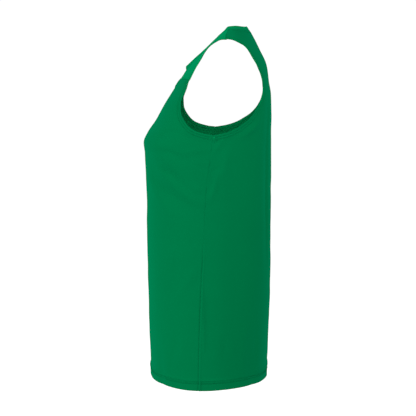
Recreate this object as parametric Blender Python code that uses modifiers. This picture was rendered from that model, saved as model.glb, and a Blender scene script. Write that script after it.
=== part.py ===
"""Sleeveless sports top of knitted polyester, hollow, in the form it has when it is worn.

Metres, +Z up. The garment faces -Y and +X is the wearer's left. The origin lies midway between the two
shoulder straps, at the height of their undersides, where the wearer's shoulders carry the garment.

The panels lie on one general form, which is a stack of rounded sections. A point of the form is given by
its angle round the body (0 at the centre front, 180 degrees at the centre back) and by its drop below
the shoulders. Each panel is a grid wrapped onto that form and then thickened inwards.
"""
import math

import bmesh
import bpy
import numpy as np
from mathutils import Vector

# Driving sizes of the garment
HEM_DROP = 0.6450            # shoulders to bottom hem
WALL = 0.0015                # cloth
SEAM_GAP = 0.0003            # between two sewn pieces
EDGE_STRIP = 0.0010          # narrow first cell along every edge
HEM_DEPTH = 0.0130           # turned bottom hem
HEM_RAISE = 0.0010
EDGE_RAMP = 0.0020           # over which a raised strip falls to the cloth
SEAM_ALLOWANCE = 0.0110      # pressed down below the yoke seam
SEAM_RAISE = 0.0015
NECKBAND_HEIGHT = 0.0076
NECKBAND_WALL = 0.0022
NECKBAND_CROWN = 0.0006

# Shoulders
NECK_POINT_X = 0.0850        # neck end of the shoulder seam
SHOULDER_TIP_X = 0.1310      # armhole end of the shoulder seam
NECK_POINT_Z = 0.0093
SHOULDER_SLOPE = math.radians(22)
SHOULDER_FADE = 0.100        # drop at which the sections have become level
SHOULDER_LEAN = 0.0055       # the neck end of the seam lies this far behind its armhole end
LEAN_Z = (-0.0040, 0.0100)   # heights between which the lean comes in
LEAN_BACK_Y = 0.0350         # where it has gone, behind the seam

# How far the hem hangs lower at each side, from front to back
HEM_SAG_COLUMNS = ("y", "sag")
HEM_SAG = (
    (-0.1500, 0.0000),
    (-0.1050, 0.0012),
    (-0.0700, 0.0018),
    (-0.0400, 0.0014),
    (0.0000, -0.0004),
    (0.0350, -0.0008),
    (0.0850, 0.0000),
)
HEM_SAG_TOP_Z = -0.500       # above here the cloth is not drawn down

# Yoke seam
YOKE_SEAM_CENTRE_DROP = 0.0933
YOKE_SEAM_SIDE_DROP = 0.0835
YOKE_SEAM_LEVEL_X = 0.090    # from here outwards the seam runs level

# Sections of the form, from the shoulders to the hem
# (the right of the back is squarer, because the cloth stands out there)
BODY_COLUMNS = ("drop", "front", "back", "half_width", "front_squareness", "back_squareness", "right_back")
BODY_SECTIONS = (
    (0.0000, 0.0000, 0.0000, 0.1720, 2.90, 2.90, 2.90),
    (0.0060, -0.0260, 0.0275, 0.1720, 2.90, 2.65, 2.90),
    (0.0145, -0.0390, 0.0425, 0.1720, 2.90, 2.60, 3.20),
    (0.0253, -0.0480, 0.0528, 0.1720, 2.90, 2.60, 3.45),
    (0.0412, -0.0600, 0.0640, 0.1720, 2.90, 2.60, 3.60),
    (0.0581, -0.0700, 0.0748, 0.1720, 2.90, 2.65, 3.70),
    (0.0680, -0.0759, 0.0778, 0.1720, 2.90, 2.85, 3.85),
    (0.0900, -0.0892, 0.0806, 0.1720, 2.85, 3.25, 4.20),
    (0.1130, -0.1036, 0.0845, 0.1720, 2.70, 3.25, 4.20),
    (0.1400, -0.1204, 0.0853, 0.1720, 2.60, 3.00, 3.80),
    (0.1640, -0.1336, 0.0855, 0.1725, 2.57, 2.85, 3.30),
    (0.1860, -0.1484, 0.0855, 0.1730, 2.55, 2.70, 2.95),
    (0.2046, -0.1556, 0.0856, 0.1735, 2.52, 2.65, 2.80),
    (0.2250, -0.1534, 0.0857, 0.1740, 2.50, 2.60, 2.65),
    (0.3000, -0.1510, 0.0858, 0.1745, 2.45, 2.50, 2.50),
    (0.4200, -0.1489, 0.0855, 0.1790, 2.40, 2.45, 2.45),
    (0.5300, -0.1464, 0.0830, 0.1875, 2.35, 2.40, 2.40),
    (HEM_DROP, -0.1425, 0.0792, 0.1970, 2.30, 2.35, 2.35),
)

# Side seam, as drop and y
SIDE_SEAM = (
    (0.1830, -0.0231),
    (0.2160, -0.0273),
    (0.2780, -0.0358),
    (0.3690, -0.0405),
    (0.4510, -0.0449),
    (0.5630, -0.0489),
    (HEM_DROP, -0.0504),
)

# Edge of the armhole as y and z seen from the side, from the side seam upwards
FRONT_ARMHOLE = (
    (-0.0231, -0.1830),
    (-0.0376, -0.1805),
    (-0.0503, -0.1771),
    (-0.0612, -0.1724),
    (-0.0694, -0.1653),
    (-0.0761, -0.1560),
    (-0.0807, -0.1470),
    (-0.0829, -0.1291),
    (-0.0821, -0.1201),
    (-0.0777, -0.1093),
    (-0.0723, -0.0949),
    (-0.0684, -YOKE_SEAM_SIDE_DROP),
)
BACK_ARMHOLE = (
    (-0.0231, -0.1830),
    (-0.0014, -0.1787),
    (0.0168, -0.1715),
    (0.0277, -0.1646),
    (0.0396, -0.1557),
    (0.0473, -0.1472),
    (0.0539, -0.1382),
    (0.0595, -0.1293),
    (0.0634, -0.1203),
    (0.0668, -0.0986),
    (0.0659, -0.0873),
)
# and on from there over the back of the strap, as x and drop
BACK_STRAP_EDGE = (
    (0.1352, 0.0719),
    (0.1345, 0.0564),
    (0.1338, 0.0406),
    (0.1330, 0.0229),
    (0.1322, 0.0100),
    (SHOULDER_TIP_X, 0.0000),
)

# Front strap as x, y and z: its armhole edge, and the neck seam down to the centre front
FRONT_STRAP_EDGE = (
    (SHOULDER_TIP_X, 0.0000, -0.0093),
    (0.1311, -0.0086, -0.0100),
    (0.1315, -0.0213, -0.0150),
    (0.1320, -0.0322, -0.0222),
    (0.1326, -0.0449, -0.0367),
    (0.1335, -0.0521, -0.0511),
    (0.1346, -0.0594, -0.0656),
)
FRONT_NECK_SEAM = (
    (NECK_POINT_X, 0.0000, NECK_POINT_Z),
    (0.0850, -0.0022, 0.0091),
    (0.0849, -0.0052, 0.0064),
    (0.0844, -0.0115, -0.0023),
    (0.0818, -0.0240, -0.0141),
    (0.0765, -0.0350, -0.0247),
    (0.0660, -0.0470, -0.0362),
    (0.0500, -0.0598, -0.0496),
    (0.0300, -0.0693, -0.0608),
    (0.0130, -0.0742, -0.0666),
    (0.0000, -0.0752, -0.0680),
)

YOKE_CORNER = 0.45           # share of the yoke's length at which its armhole edge ends
SHOULDER_STRIP = 0.006       # share of the length in the narrow row beside the shoulder seam
YOKE_CORNER_FADE = 0.15      # share of the length before it over which the strap turns into the panel

# Back neck seam, drawn in plan
BACK_NECK_DEPTH = 0.0430
NECK_ROUNDNESS = 2.2

# Rise of the neckband out of the horizontal, by the direction from the middle of the neck (0 is forward)
NECK_CENTRE_Y = -0.0150
NECKBAND_TILT = ((0, 93), (28, 78), (49, 54), (66, 28), (88, 10), (100, 28), (118, 60), (140, 70), (180, 62))

# Grid of the panels
FORM_RADIUS = 0.150          # length of form for one radian of angle
CORNER_ROW_DROP = 0.2350     # where the row from the underarm crosses the middle
CORNER_SHARPNESS = 5         # how late towards the underarm that row rises
EDGE_SHARPNESS = 3           # how late towards the armhole the rows follow its edge
CHEST_LENGTH = 0.150         # front panel between the underarm row and the yoke seam
BACK_ROW_CROWDING = 0.75     # how much closer the back's rows lie at the shoulders
TOP_STRIP_LEVEL = 0.005      # level of the back's narrow top row below its edge
FRONT_COLUMNS = 12           # over half the front panel
NECK_COLUMNS = 8             # from the centre back to the shoulder seam
STRAP_COLUMNS_BACK = 5       # from there to the armhole

# Largest folds: soft troughs (depth below zero) and ridges, from one point of the form to another
FOLD_COLUMNS = ("panel", "start_angle", "start_drop", "end_angle", "end_drop", "half_width", "depth")
FOLDS = (
    ("front_panel", 24, 0.193, 62, 0.188, 0.012, -0.0020),
    ("front_panel", 16, 0.225, 74, 0.262, 0.013, -0.0022),
    ("front_panel", 30, 0.245, 82, 0.330, 0.016, -0.0024),
    ("front_panel", 22, 0.262, 70, 0.345, 0.014, 0.0018),
    ("front_panel", -28, 0.198, -64, 0.190, 0.013, -0.0020),
    ("front_panel", -14, 0.232, -76, 0.280, 0.014, -0.0022),
    ("front_panel", -26, 0.268, -80, 0.352, 0.016, -0.0022),
    ("front_panel", 40, 0.585, 44, 0.700, 0.014, -0.0020),
    ("front_panel", -50, 0.560, -46, 0.700, 0.016, -0.0020),
    ("back_panel", 105, 0.205, 98, 0.262, 0.012, 0.0020),
    ("back_panel", 150, 0.130, 152, 0.430, 0.015, -0.0022),
    ("back_panel", -148, 0.150, -153, 0.460, 0.016, -0.0022),
    ("back_panel", -104, 0.210, -97, 0.275, 0.013, 0.0020),
    ("back_panel", 128, 0.520, 133, 0.700, 0.018, -0.0024),
    ("back_panel", -135, 0.500, -130, 0.700, 0.018, -0.0024),
    ("back_panel", 172, 0.540, 176, 0.700, 0.016, -0.0020),
)

CLOTH_GREEN = (0.0, 0.175, 0.058, 1.0)
CLOTH_ROUGHNESS = 0.62


# ---------------------------------------------------------------- curves

def smooth_curve(knots, values):
    """Cubic curve through the values, with no overshoot between them."""
    knots = np.asarray(knots, float)
    values = np.asarray(values, float)
    steps = np.diff(knots)
    slopes = np.diff(values) / steps
    same_way = slopes[:-1] * slopes[1:] > 0
    total = np.where(same_way, slopes[:-1] + slopes[1:], 1)
    inner = np.where(same_way, 2 * slopes[:-1] * slopes[1:] / total, 0)
    tangents = np.concatenate((slopes[:1], inner, slopes[-1:]))

    def at(knot):
        i = min(max(int(np.searchsorted(knots, knot)) - 1, 0), len(steps) - 1)
        t = min(max((knot - knots[i]) / steps[i], 0), 1)
        ends = values[i] + (values[i + 1] - values[i]) * t * t * (3 - 2 * t)
        return ends + steps[i] * (tangents[i] * t * (1 - t) ** 2 + tangents[i + 1] * t * t * (t - 1))
    return at


def smooth_path(points, places=None):
    """Curve through points, from 0 at the first to 1 at the last, at an even pace through their places."""
    points = np.asarray(points, float)
    places = points if places is None else np.asarray(places, float)
    run = np.concatenate(([0], np.cumsum(np.linalg.norm(np.diff(places, axis=0), axis=1))))
    curves = [smooth_curve(run / run[-1], points[:, k]) for k in range(points.shape[1])]
    return lambda t: np.array([curve(t) for curve in curves])


def smooth_step(t):
    t = min(max(t, 0.0), 1.0)
    return t * t * (3 - 2 * t)


# ---------------------------------------------------------------- form

SECTION_CURVES = [
    smooth_curve([math.sqrt(row[0]) for row in BODY_SECTIONS], [row[k] for row in BODY_SECTIONS])
    for k in range(1, len(BODY_COLUMNS))
]
SIDE_SEAM_Y = smooth_curve(*zip(*SIDE_SEAM))
HEM_SAG_AT = smooth_curve(*zip(*HEM_SAG))


def section(drop, quarter="front"):
    """Middle y, half depth, half width and squareness of a section, in one of its quarters."""
    front, back, half_width, *squareness = (curve(math.sqrt(max(drop, 0.0))) for curve in SECTION_CURVES)
    square = dict(zip(("front", "left_back", "right_back"), squareness))[quarter]
    return (front + back) / 2, (back - front) / 2, half_width, square


def quarter_of(angle):
    if math.cos(angle) >= 0:
        return "front"
    return "left_back" if math.sin(angle) >= 0 else "right_back"


def shoulder_height(x):
    """Height of the shoulder line: a straight slope over the strap, rounded off across the neck."""
    slope = math.tan(SHOULDER_SLOPE)
    beyond = abs(x) - NECK_POINT_X
    if beyond > 0:
        return NECK_POINT_Z - slope * beyond
    return NECK_POINT_Z + slope * NECK_POINT_X / 1.5 * (1 - (abs(x) / NECK_POINT_X) ** 1.5)


def shoulder_lift(x, drop):
    return shoulder_height(x) * max(0.0, 1 - drop / SHOULDER_FADE) ** 2


def form_point(angle, drop):
    mid, depth, half_width, squareness = section(drop, quarter_of(angle))
    x = math.copysign(half_width * abs(math.sin(angle)) ** (2 / squareness), math.sin(angle))
    y = mid - math.copysign(depth * abs(math.cos(angle)) ** (2 / squareness), math.cos(angle))
    return np.array((x, y, shoulder_lift(x, drop) - drop))


def form_normal(angle, drop):
    step = 0.002
    along = form_point(angle + step, drop) - form_point(angle - step, drop)
    down = form_point(angle, drop + step) - form_point(angle, max(drop - step, 0.0))
    normal = np.cross(down, along)
    return normal / np.linalg.norm(normal)


def angle_at(y, drop):
    """Angle of the form's left half at a y."""
    mid, depth, _, _ = section(drop)
    reach = (mid - y) / depth
    squareness = section(drop, "front" if reach >= 0 else "left_back")[3]
    return math.acos(math.copysign(min(abs(reach), 1.0) ** (squareness / 2), reach))


def back_angle_at(x, drop, quarter="left_back"):
    """Angle of the back at a distance from the centre, counted towards the front from 180 degrees."""
    _, _, half_width, squareness = section(drop, quarter)
    return math.pi - math.asin(min(abs(x) / half_width, 1.0) ** (squareness / 2))


def on_form(y, z):
    """Angle and drop of the form's point that shows at y and z from the side."""
    drop = -z
    for _ in range(20):
        angle = angle_at(y, drop)
        drop = shoulder_lift(form_point(angle, drop)[0], drop) - z
    return angle, drop


# ---------------------------------------------------------------- folds and raised edges

def fold_height(panel, angle, drop):
    """Sum of a panel's soft folds at a point of the form."""
    here = np.array((angle * FORM_RADIUS, drop))
    total = 0.0
    for row in FOLDS:
        fold = dict(zip(FOLD_COLUMNS, row))
        if fold["panel"] != panel:
            continue
        start = np.array((math.radians(fold["start_angle"]) * FORM_RADIUS, fold["start_drop"]))
        run = np.array((math.radians(fold["end_angle"]) * FORM_RADIUS, fold["end_drop"])) - start
        along = min(max(float(np.dot(here - start, run) / np.dot(run, run)), 0.0), 1.0)
        aside = np.linalg.norm(here - start - run * along) / fold["half_width"]
        total += fold["depth"] * math.exp(-aside * aside) * math.sin(math.pi * (0.1 + 0.8 * along))
    return total


def raised_strip(from_edge, depth, height):
    """Height of a turned hem or pressed allowance at a distance from its edge."""
    return height * (1 - smooth_step((from_edge - depth) / EDGE_RAMP))


# ---------------------------------------------------------------- body panels

def settled(point):
    """A point of the garment once its shoulder seams lean back and its hem hangs a little unevenly."""
    x, y, z = point
    risen = smooth_step((z - LEAN_Z[0]) / (LEAN_Z[1] - LEAN_Z[0]))
    lean = SHOULDER_LEAN * risen * (1 - smooth_step(y / LEAN_BACK_Y))
    sag = HEM_SAG_AT(y) * smooth_step((HEM_SAG_TOP_Z - z) / (HEM_SAG_TOP_Z + HEM_DROP))
    return Vector((x, y + lean, z - sag))


def edge_path(pairs):
    """Path through pairs of angle and drop, at an even pace over the form."""
    return smooth_path(pairs, [form_point(*pair) for pair in pairs])


def side_seam_edge(t):
    drop = HEM_DROP + (SIDE_SEAM[0][0] - HEM_DROP) * t
    return angle_at(SIDE_SEAM_Y(drop), drop), drop


def back_armhole_edge():
    pairs = [on_form(y, z) for y, z in BACK_ARMHOLE]
    return edge_path(pairs + [(back_angle_at(x, drop), drop) for x, drop in BACK_STRAP_EDGE])


def mirrored(angle, drop):
    """The place on the right of the form that is as far from the centre and as far down."""
    if quarter_of(angle) == "front":
        return -angle, drop
    return -back_angle_at(form_point(angle, drop)[0], drop, "right_back"), drop


def panel_rows(centre_angle, armhole_edge, top_drop, pace, levels, shares):
    """Rows of angle and drop over half a body panel, from the hem up, each from the middle to the edge.

    A level is 0 at the hem, 1 at the underarm and 2 at the top. The row that meets the underarm dips
    towards the middle, so that the cells fan round that corner.
    """
    corner_angle, corner_drop = side_seam_edge(1.0)

    def place(share, level):
        if level <= 1:
            angle, edge_drop = side_seam_edge(level)
            middle_drop = HEM_DROP + (CORNER_ROW_DROP - HEM_DROP) * level
            drop = middle_drop + (edge_drop - middle_drop) * share ** (1 + (CORNER_SHARPNESS - 1) * level)
        else:
            angle, edge_drop = armhole_edge(level - 1)
            start = CORNER_ROW_DROP + (corner_drop - CORNER_ROW_DROP) * share ** CORNER_SHARPNESS
            edge_done = (corner_drop - edge_drop) / (corner_drop - armhole_edge(1.0)[1])
            follow = share ** EDGE_SHARPNESS
            done = pace(level - 1) * (1 - follow) + edge_done * follow
            drop = start + (top_drop(share) - start) * done
        return centre_angle + (angle - centre_angle) * share, drop

    return [[place(share, level) for share in shares] for level in levels]


def dress_rows(panel, rows, seam_drop=None):
    """Outer points of a whole panel and how far each is raised, from the rows of its left half."""
    points, raises = [], []
    for row in rows:
        whole = [mirrored(*pair) for pair in reversed(row)] + list(row[1:])
        lifts = [raised_strip(HEM_DROP - drop, HEM_DEPTH, HEM_RAISE) for _, drop in whole]
        if seam_drop:
            lifts = [max(lift, raised_strip(drop - seam_drop(angle), SEAM_ALLOWANCE, SEAM_RAISE))
                     for lift, (angle, drop) in zip(lifts, whole)]
        heights = [lift + fold_height(panel, *pair) for lift, pair in zip(lifts, whole)]
        points.append([form_point(*pair) + form_normal(*pair) * height
                       for height, pair in zip(heights, whole)])
        raises.append(lifts)
    return np.array(points), np.array(raises)


def yoke_seam_drop(angle):
    x = form_point(angle, YOKE_SEAM_SIDE_DROP)[0]
    rise = smooth_step(abs(x) / YOKE_SEAM_LEVEL_X)
    return YOKE_SEAM_CENTRE_DROP + (YOKE_SEAM_SIDE_DROP - YOKE_SEAM_CENTRE_DROP) * rise


def body_levels(rows_below, rows_above, top_levels):
    """Levels from the hem to the top of a panel, with close rows at the hem and at the top."""
    side_length = HEM_DROP - SIDE_SEAM[0][0]
    hem = [0.0, EDGE_STRIP / side_length, HEM_DEPTH / side_length, (HEM_DEPTH + EDGE_RAMP) / side_length]
    below = list(np.linspace(hem[-1], 1.0, rows_below)[1:])
    above = list(np.linspace(1.0, top_levels[0], rows_above)[1:])
    return hem + below + above + top_levels[1:]


def front_shares():
    return [k / FRONT_COLUMNS for k in range(FRONT_COLUMNS)] + [1 - EDGE_STRIP / FORM_RADIUS, 1.0]


def front_panel_points():
    edge = edge_path([on_form(y, z) for y, z in FRONT_ARMHOLE])
    top_angle = edge(1.0)[0]
    top = [2 - (SEAM_ALLOWANCE + EDGE_RAMP) / CHEST_LENGTH, 2 - SEAM_ALLOWANCE / CHEST_LENGTH,
           2 - EDGE_STRIP / CHEST_LENGTH, 2.0]
    rows = panel_rows(0.0, edge, lambda share: yoke_seam_drop(top_angle * share), lambda t: t,
                      body_levels(14, 9, top), front_shares())
    return dress_rows("front_panel", rows, yoke_seam_drop)


def back_neck_drop(x):
    """Drop of the back neck seam at a distance from the centre, by halving."""
    reach = BACK_NECK_DEPTH * (1 - min(abs(x) / NECK_POINT_X, 1.0) ** NECK_ROUNDNESS) ** (1 / NECK_ROUNDNESS)
    low, high = 0.0, SHOULDER_FADE
    for _ in range(40):
        drop = (low + high) / 2
        mid, depth, half_width, squareness = section(drop, "left_back")
        if mid + depth * (1 - (abs(x) / half_width) ** squareness) ** (1 / squareness) < reach:
            low = drop
        else:
            high = drop
    return high if reach > 0 else 0.0


def back_panel_points():
    tip_angle = back_angle_at(SHOULDER_TIP_X, 0.0)
    neck_share = (math.pi - back_angle_at(NECK_POINT_X, 0.0)) / (math.pi - tip_angle)

    def top_drop(share):
        angle = math.pi + (tip_angle - math.pi) * share
        return 0.0 if share >= neck_share - 1e-9 else back_neck_drop(form_point(angle, 0.0)[0])

    shares = [neck_share * k / NECK_COLUMNS for k in range(NECK_COLUMNS)]
    shares += [neck_share + (1 - neck_share) * k / STRAP_COLUMNS_BACK for k in range(STRAP_COLUMNS_BACK)]
    shares += [1 - EDGE_STRIP / FORM_RADIUS, 1.0]
    levels = body_levels(14, 14, [2 - TOP_STRIP_LEVEL, 2.0])
    rows = panel_rows(math.pi, back_armhole_edge(), top_drop, lambda t: t + BACK_ROW_CROWDING * (t - t * t),
                      levels, shares)
    return dress_rows("back_panel", rows)


# ---------------------------------------------------------------- yoke and neckband

def yoke_edges():
    """Neck seam and outer edge of the left half of the yoke, each from the shoulder to the centre front."""
    neck = smooth_path(FRONT_NECK_SEAM)
    corner = on_form(*FRONT_ARMHOLE[-1])
    strap = smooth_path(list(FRONT_STRAP_EDGE) + [form_point(*corner)])

    def outer(t):
        if t < YOKE_CORNER:
            turned = smooth_step(1 - (YOKE_CORNER - t) / YOKE_CORNER_FADE)
            return strap(t / YOKE_CORNER), form_normal(*corner) * turned
        angle = corner[0] * (1 - (t - YOKE_CORNER) / (1 - YOKE_CORNER))
        drop = yoke_seam_drop(angle)
        return form_point(angle, drop), form_normal(angle, drop)
    return neck, outer


def yoke_points():
    neck, outer = yoke_edges()
    width = SHOULDER_TIP_X - NECK_POINT_X
    runs = [0.0, SHOULDER_STRIP] + list(np.linspace(0.0, YOKE_CORNER, 14)[1:-1])
    runs += [YOKE_CORNER + (1 - YOKE_CORNER) * (1 - share) for share in reversed(front_shares())]
    shares = [0.0, EDGE_STRIP / width] + [k / 5 for k in range(1, 5)] + [1 - EDGE_STRIP / width, 1.0]
    rows = []
    for t in runs:
        inner_point = neck(t)
        outer_point, normal = outer(t)
        across = outer_point - inner_point
        row = []
        for share in shares:
            point = inner_point + across * share
            row.append(point + normal * np.dot(across, normal) * share * share * (1 - share))
        rows.append(row)
    left = np.array(rows)
    right = left[:-1][::-1] * np.array((-1, 1, 1))
    return np.concatenate((left, right))


def neck_loop(back, yoke):
    """Points of the neck seam all round, from the centre back over the left shoulder."""
    back_edge = [point for point in back[-1] if abs(point[0]) < NECK_POINT_X + SEAM_GAP]
    middle = len(back_edge) // 2
    return back_edge[middle:-1] + list(yoke[:, 0]) + back_edge[1:middle]


def neckband_points(seam):
    tilt_at = smooth_curve(*zip(*NECKBAND_TILT))
    columns = []
    for point in seam:
        inwards = np.array((-point[0], NECK_CENTRE_Y - point[1], 0.0))
        inwards /= np.linalg.norm(inwards)
        tilt = math.radians(tilt_at(math.degrees(math.atan2(abs(point[0]), NECK_CENTRE_Y - point[1]))))
        rise = inwards * math.cos(tilt) + np.array((0.0, 0.0, math.sin(tilt)))
        face = np.array((0.0, 0.0, math.cos(tilt))) - inwards * math.sin(tilt)
        columns.append([point + rise * (SEAM_GAP / 2 + NECKBAND_HEIGHT * k / 4)
                        + face * NECKBAND_CROWN * math.sin(math.pi * k / 4) for k in range(5)])
    columns.append(columns[0])
    return np.array(columns)


# ---------------------------------------------------------------- objects

def draw_back(points, sides):
    """Move the edges that a seam joins back by half the seam gap, along the grid."""
    points = points.copy()
    for side in sides:
        columns = points.transpose(1, 0, 2)
        grid = {"first_row": points, "last_row": points[::-1],
                "first_column": columns, "last_column": columns[::-1]}[side]
        step = grid[1] - grid[0]
        grid[0] += step / np.linalg.norm(step, axis=1, keepdims=True) * SEAM_GAP / 2
    return points


def cloth_object(name, points, raises, wall, collection):
    """A grid of points as an open surface, thickened inwards, with more thickness where it is raised."""
    rows, columns = points.shape[:2]
    mesh = bpy.data.meshes.new(name)
    bm = bmesh.new()
    bmesh.ops.create_grid(bm, x_segments=columns - 1, y_segments=rows - 1, size=1.0)
    thickest = wall + float(raises.max())
    weights = bm.verts.layers.deform.verify()
    for vert in bm.verts:
        row = round((vert.co.y + 1) / 2 * (rows - 1))
        column = round((vert.co.x + 1) / 2 * (columns - 1))
        vert.co = settled(points[row, column])
        vert[weights][0] = (wall + float(raises[row, column])) / thickest
    bmesh.ops.remove_doubles(bm, verts=bm.verts, dist=0.00001)
    bm.to_mesh(mesh)
    bm.free()
    mesh.shade_smooth()
    cloth = bpy.data.objects.new(name, mesh)
    cloth.vertex_groups.new(name="thickness")
    collection.objects.link(cloth)
    shell = cloth.modifiers.new("wall", "SOLIDIFY")
    shell.thickness = thickest
    shell.offset = -1
    shell.vertex_group = "thickness"
    mesh.materials.append(cloth_material(name))
    return cloth


def cloth_material(name):
    material = bpy.data.materials.new(name + "_cloth")
    material.use_nodes = True
    shader = material.node_tree.nodes["Principled BSDF"]
    shader.inputs["Base Color"].default_value = CLOTH_GREEN
    shader.inputs["Roughness"].default_value = CLOTH_ROUGHNESS
    shader.inputs["Metallic"].default_value = 0.0
    return material


def main():
    for existing in list(bpy.data.objects):
        bpy.data.objects.remove(existing)
    garment = bpy.data.collections.new("sports_tank_top")
    bpy.context.scene.collection.children.link(garment)

    front, front_raises = front_panel_points()
    front = draw_back(front, ("last_row", "first_column", "last_column"))
    cloth_object("front_panel", front, front_raises, WALL, garment)

    back, back_raises = back_panel_points()
    back = draw_back(back[:, ::-1], ("last_row", "first_column", "last_column"))
    cloth_object("back_panel", back, back_raises[:, ::-1], WALL, garment)

    yoke = yoke_points()
    band = neckband_points(neck_loop(back_panel_points()[0], yoke))
    yoke = draw_back(yoke[::-1], ("first_row", "last_row", "first_column", "last_column"))
    cloth_object("front_yoke", yoke, np.zeros(yoke.shape[:2]), WALL, garment)

    cloth_object("neckband", band, np.zeros(band.shape[:2]), NECKBAND_WALL, garment)


main()
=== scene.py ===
"""Looks of a sleeveless sports top of smooth stretch knit, filled out as it is worn.

Metres, +Z up. The garment faces -Y and +X is the wearer's left, as in the solids. Its cloth lies on the
same form as theirs, where a point has an angle round the body from the centre front and a drop below the
shoulders. Folds, turned hems and seams are heights above that form.
"""
import math

import bmesh
import bpy
import numpy as np
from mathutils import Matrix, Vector, kdtree
from mathutils.bvhtree import BVHTree


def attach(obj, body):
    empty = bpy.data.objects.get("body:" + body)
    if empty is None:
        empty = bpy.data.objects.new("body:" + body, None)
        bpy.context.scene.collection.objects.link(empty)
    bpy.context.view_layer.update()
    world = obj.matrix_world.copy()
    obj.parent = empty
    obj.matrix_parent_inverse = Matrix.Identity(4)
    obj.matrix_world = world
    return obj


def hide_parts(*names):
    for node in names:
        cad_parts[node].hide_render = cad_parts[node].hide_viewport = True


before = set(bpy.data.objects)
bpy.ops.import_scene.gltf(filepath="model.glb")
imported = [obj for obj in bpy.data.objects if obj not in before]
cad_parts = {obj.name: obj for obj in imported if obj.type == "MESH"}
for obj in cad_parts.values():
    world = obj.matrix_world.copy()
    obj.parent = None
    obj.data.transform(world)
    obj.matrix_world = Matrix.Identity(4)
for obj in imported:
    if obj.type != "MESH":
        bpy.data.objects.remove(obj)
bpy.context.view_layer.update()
scene = bpy.context.scene

# ---- sizes of the garment
HEM_DROP = 0.645
NECK_POINT_X = 0.085
SHOULDER_TIP_X = 0.131
NECK_POINT_Z = 0.0093
SHOULDER_SLOPE = math.radians(22)
SHOULDER_FADE = 0.1
SHOULDER_CROWN = 1.5  # power of the rise of the neckline's middle over its ends
SHOULDER_LEAN = 0.0055
LEAN_Z = (-0.004, 0.01)
LEAN_BACK_Y = 0.035
YOKE_SEAM_CENTRE_DROP = 0.0933
YOKE_SEAM_SIDE_DROP = 0.0835
YOKE_SEAM_LEVEL_X = 0.09
YOKE_CORNER = 0.45
YOKE_CORNER_FADE = 0.15
BACK_NECK_DEPTH = 0.043
NECK_ROUNDNESS = 2.2
NECK_CENTRE_Y = -0.015
NECKBAND_HEIGHT = 0.0076
# Lean of the neckband at bearings from the centre front, in degrees
NECKBAND_TILT = (
    (0, 93), (28, 78), (49, 54), (66, 28), (88, 14), (100, 38), (118, 68), (140, 68), (180, 56),
)
CORNER_ROW_DROP = 0.235
CORNER_SHARPNESS = 5
EDGE_SHARPNESS = 3
FORM_RADIUS = 0.15  # length of form for one radian of angle
STRAP_TWIST = 0.0018  # the left strap's front lies further back, and the right one's further forward
STRAP_TWIST_X = 0.1
STRAP_TWIST_Y = 0.03
STRAP_TWIST_Z = -0.082
STRAP_TWIST_SPREAD = 0.022
# How far the hem hangs lower, as y and sag
HEM_SAG = (
    (-0.15, 0.0), (-0.105, 0.0012), (-0.07, 0.0026), (-0.04, 0.0026), (0.0, 0.0006),
    (0.035, -0.0008), (0.085, 0.0),
)
HEM_SAG_TOP_Z = -0.5

# Sections of the form: drop, front, back, half width, squareness of the front, the left back, the right back
BODY_SECTIONS = np.array((
    (0.0, 0.0, 0.0, 0.172, 2.9, 2.9, 2.9),
    (0.006, -0.026, 0.0275, 0.172, 2.9, 2.65, 2.9),
    (0.0145, -0.039, 0.0425, 0.172, 2.9, 2.6, 3.2),
    (0.0253, -0.048, 0.0528, 0.172, 2.9, 2.6, 3.45),
    (0.0412, -0.06, 0.064, 0.172, 2.9, 2.6, 3.6),
    (0.0581, -0.07, 0.0748, 0.172, 2.9, 2.65, 3.7),
    (0.068, -0.0759, 0.0778, 0.172, 2.9, 2.85, 3.85),
    (0.09, -0.0892, 0.0806, 0.172, 2.85, 3.25, 4.2),
    (0.113, -0.1036, 0.0845, 0.172, 2.7, 3.25, 4.2),
    (0.14, -0.1204, 0.0853, 0.172, 2.6, 3.0, 3.8),
    (0.164, -0.1336, 0.0855, 0.1725, 2.57, 2.85, 3.3),
    (0.186, -0.1484, 0.0855, 0.173, 2.55, 2.7, 2.95),
    (0.2046, -0.1556, 0.0856, 0.1735, 2.52, 2.65, 2.8),
    (0.225, -0.1534, 0.0857, 0.174, 2.5, 2.6, 2.65),
    (0.3, -0.151, 0.0858, 0.1745, 2.45, 2.5, 2.5),
    (0.42, -0.1489, 0.0855, 0.179, 2.4, 2.45, 2.45),
    (0.53, -0.1464, 0.083, 0.1875, 2.35, 2.4, 2.4),
    (HEM_DROP, -0.1425, 0.0792, 0.197, 2.3, 2.35, 2.35),
))
# Side seam, as drop and y
SIDE_SEAM = (
    (0.183, -0.0231), (0.216, -0.0273), (0.278, -0.0358), (0.369, -0.0405), (0.451, -0.0449),
    (0.563, -0.0489), (HEM_DROP, -0.0504),
)
UNDERARM_DROP = SIDE_SEAM[0][0]
# Edge of the armhole as y and z, from the side seam upwards
FRONT_ARMHOLE = (
    (-0.0231, -0.183), (-0.0376, -0.1805), (-0.0503, -0.1771), (-0.0612, -0.1724),
    (-0.0694, -0.1653), (-0.0761, -0.156), (-0.0807, -0.147), (-0.0829, -0.1291),
    (-0.0821, -0.1201), (-0.0777, -0.1093), (-0.0723, -0.0949), (-0.0684, -YOKE_SEAM_SIDE_DROP),
)
BACK_ARMHOLE = (
    (-0.0231, -0.183), (-0.0014, -0.1787), (0.0168, -0.1715), (0.0277, -0.1646), (0.0396, -0.1557),
    (0.0473, -0.1472), (0.0539, -0.1382), (0.0595, -0.1293), (0.0634, -0.1203), (0.0668, -0.0986),
    (0.0659, -0.0873),
)
# and on over the back of the strap, as x and drop
BACK_STRAP_EDGE = (
    (0.1352, 0.0719), (0.1345, 0.0564), (0.1338, 0.0406), (0.133, 0.0229), (0.1322, 0.01),
    (SHOULDER_TIP_X, 0.0),
)
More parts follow.
